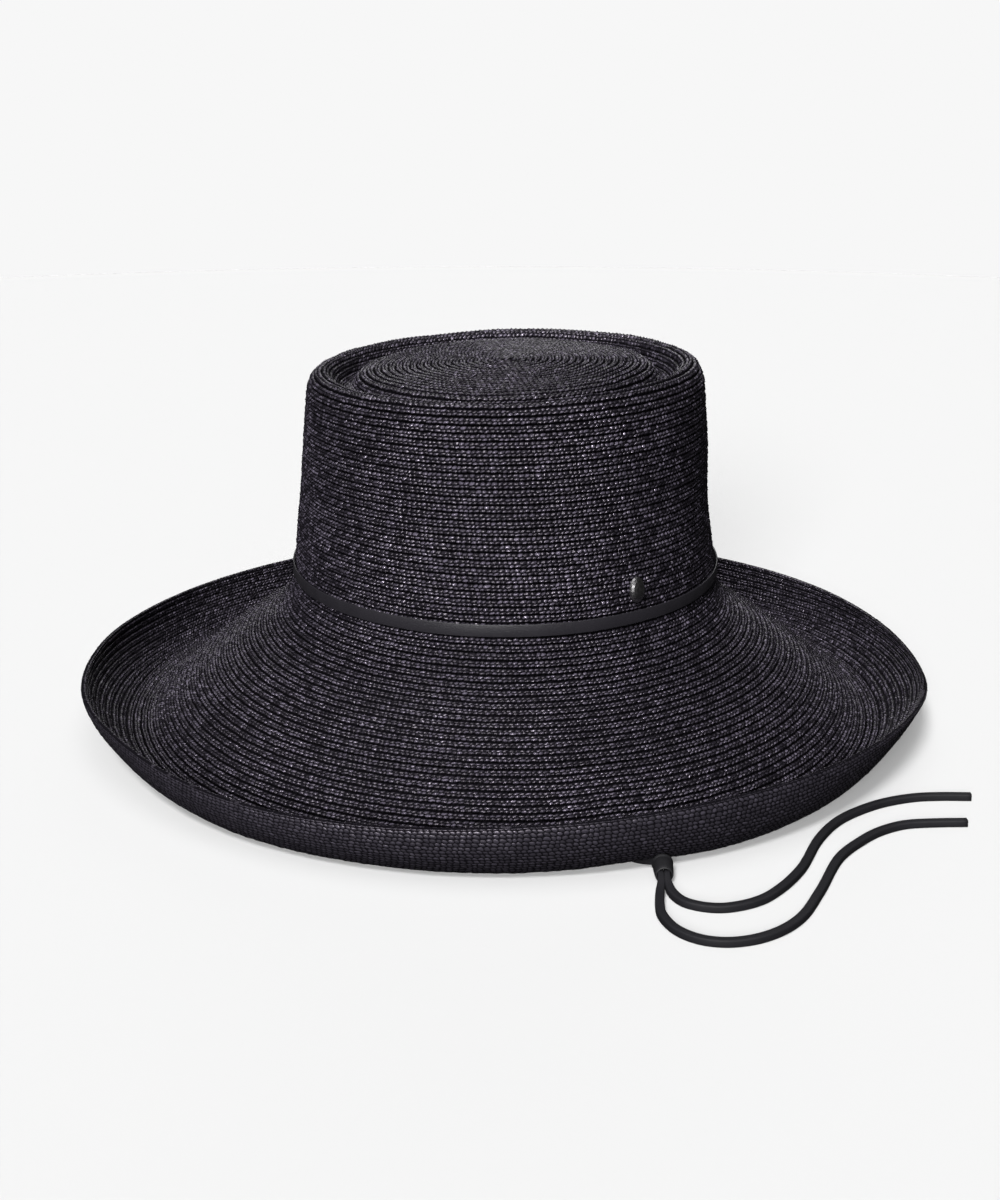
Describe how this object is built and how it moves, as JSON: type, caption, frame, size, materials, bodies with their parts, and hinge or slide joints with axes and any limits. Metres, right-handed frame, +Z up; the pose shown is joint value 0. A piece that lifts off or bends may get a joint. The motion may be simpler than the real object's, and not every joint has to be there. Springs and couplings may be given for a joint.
{
  "type": "wide-brimmed porkpie hat of straw braid",
  "caption": "Porkpie hat of black sewn straw braid: telescope crown with a sunk rim, wide turned-up brim, leather lace round the crown, plain metal stud, and a loose chin lace with a slide.",
  "frame": {"origin": "middle of the hat's base box, on the surface that the hat rests on", "axes": "+Z up out of the crown, +X to the wearer's left as seen from the front, -Y towards the front of the hat"},
  "size_m": [0.346, 0.4159, 0.1454],
  "materials": {
    "straw": "sewn rows of black straw braid with a low natural sheen",
    "leather": "matt dark grey-black leather lace",
    "metal": "dark polished nickel"
  },
  "bodies": {
    "root": {"crown_tip": "straw", "crown": "straw", "brim": "straw", "brim_edge": "straw", "crown_lace": "leather", "crown_pin": "metal", "chin_lace_left": "leather", "chin_lace_right": "leather", "lace_slide": "leather"}
  },
  "joints": []
}
